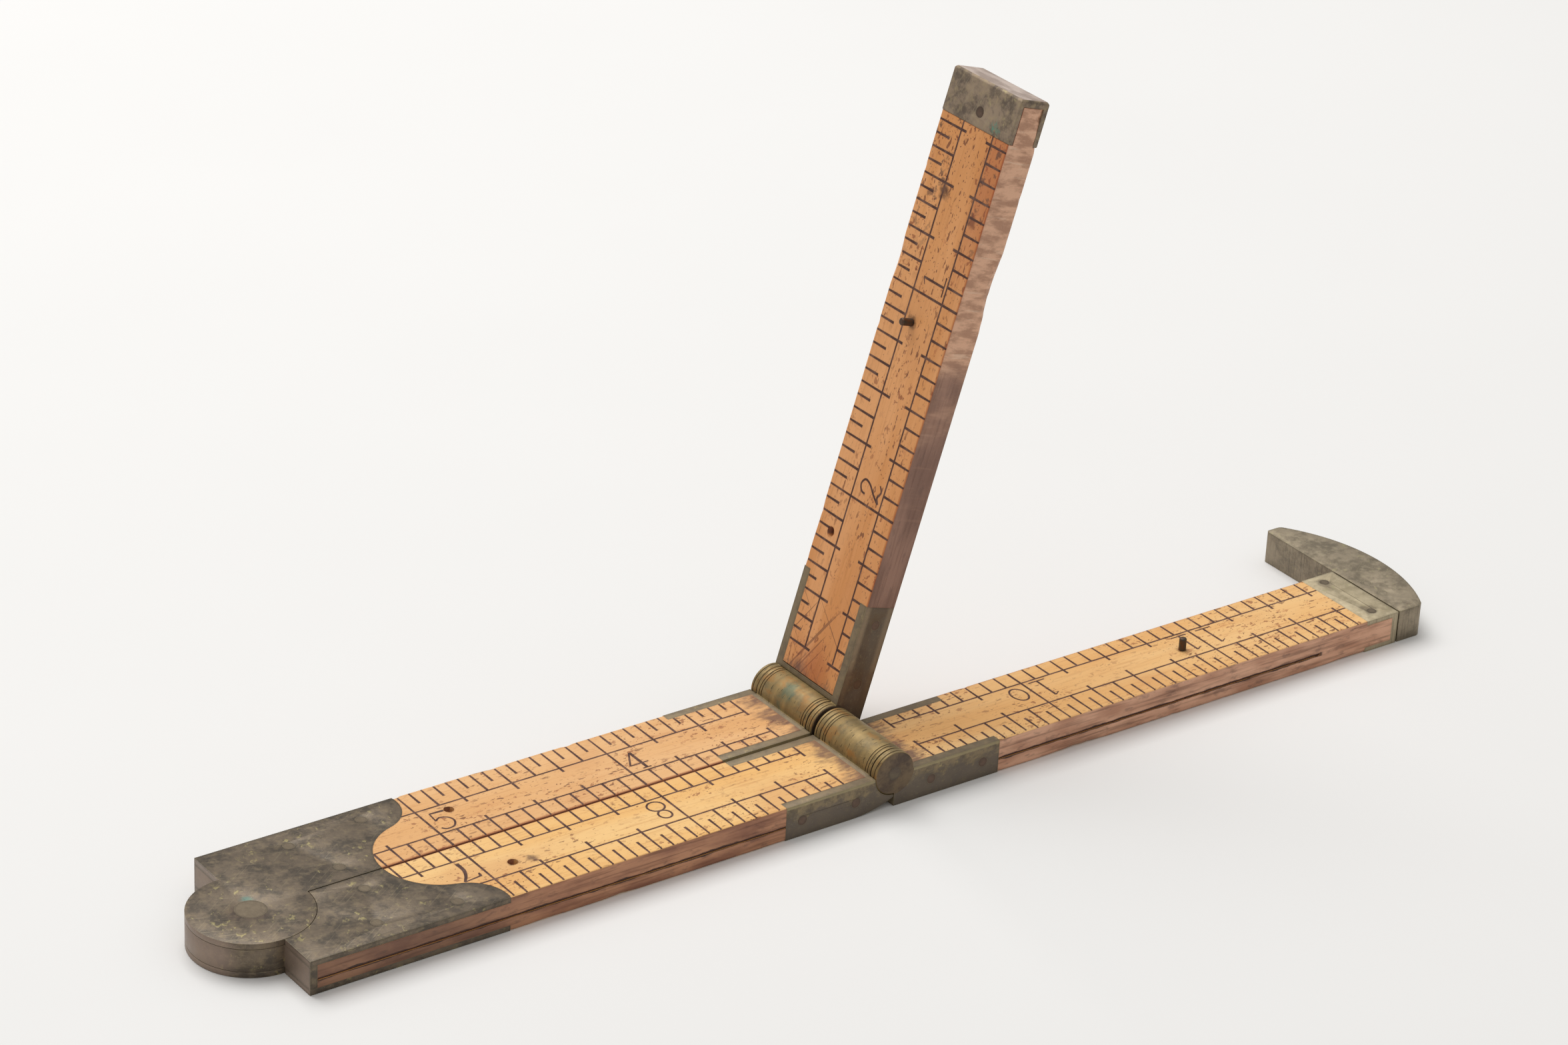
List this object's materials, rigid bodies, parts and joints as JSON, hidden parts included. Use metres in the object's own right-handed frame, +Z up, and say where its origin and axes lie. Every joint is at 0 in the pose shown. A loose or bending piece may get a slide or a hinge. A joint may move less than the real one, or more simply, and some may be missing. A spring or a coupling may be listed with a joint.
{
  "type": "folding rule",
  "caption": "Four-fold boxwood folding rule with a brass arch joint, knuckle joints and a sliding caliper jaw.",
  "frame": {"origin": "middle of the arch joint, on the underside of the rule", "axes": "+X along the inner leaves to the knuckles and on along leaf 4; +Y across, from leaf 3 to leaf 2; +Z up, out of the numbered faces"},
  "size_m": [0.1666, 0.0248, 0.0772],
  "materials": {
    "boxwood": "satin",
    "patinated_brass": "satin",
    "barrel_brass": "satin",
    "rivet_copper": "satin",
    "steel": "satin"
  },
  "bodies": {
    "leaf_3": {"leaf_3_wood": "boxwood", "leaf_3_top_arch_plate": "patinated_brass", "leaf_3_bottom_arch_plate": "patinated_brass", "leaf_3_arch_core": "patinated_brass", "leaf_3_arch_rivets": "rivet_copper", "leaf_3_hinge_strap": "barrel_brass", "leaf_3_strap_rivets": "rivet_copper"},
    "leaf_2": {"leaf_2_wood": "boxwood", "leaf_2_top_arch_plate": "patinated_brass", "leaf_2_bottom_arch_plate": "patinated_brass", "leaf_2_arch_core": "patinated_brass", "leaf_2_arch_rivets": "rivet_copper", "arch_pivot_pin": "rivet_copper", "leaf_2_hinge_strap": "barrel_brass", "leaf_2_strap_rivets": "rivet_copper"},
    "leaf_1": {"leaf_1_wood": "boxwood", "leaf_1_hinge_strap": "patinated_brass", "leaf_1_strap_rivets": "rivet_copper", "leaf_1_knuckle_pin": "rivet_copper", "leaf_1_tip_cap": "patinated_brass", "leaf_1_cap_rivet": "rivet_copper", "leaf_1_alignment_pin": "steel"},
    "leaf_4": {"leaf_4_wood": "boxwood", "leaf_4_hinge_strap": "patinated_brass", "leaf_4_strap_rivets": "rivet_copper", "leaf_4_knuckle_pin": "rivet_copper", "leaf_4_end_cap": "patinated_brass", "leaf_4_cap_rivets": "rivet_copper", "leaf_4_alignment_pin": "steel"},
    "caliper": {"caliper_bar": "patinated_brass", "caliper_jaw": "patinated_brass", "caliper_jaw_rivets": "rivet_copper"}
  },
  "joints": [
    {"name": "arch_joint", "type": "hinge", "parent": "leaf_3", "child": "leaf_2", "pos_m": [0, 0, 0.0021], "axis": [0, 0, 1], "range_deg": [0, 180]},
    {"name": "leaf_1_knuckle", "type": "hinge", "parent": "leaf_2", "child": "leaf_1", "pos_m": [0.0762, 0, 0.00425], "axis": [0, 1, 0], "range_deg": [-98, 73.5]},
    {"name": "leaf_4_knuckle", "type": "hinge", "parent": "leaf_3", "child": "leaf_4", "pos_m": [0.0762, 0, 0.00425], "axis": [0, 1, 0], "range_deg": [-180, 0]},
    {"name": "caliper_slide", "type": "slide", "parent": "leaf_4", "child": "caliper", "axis": [1, 0, 0], "range_m": [0, 0.0381]}
  ]
}
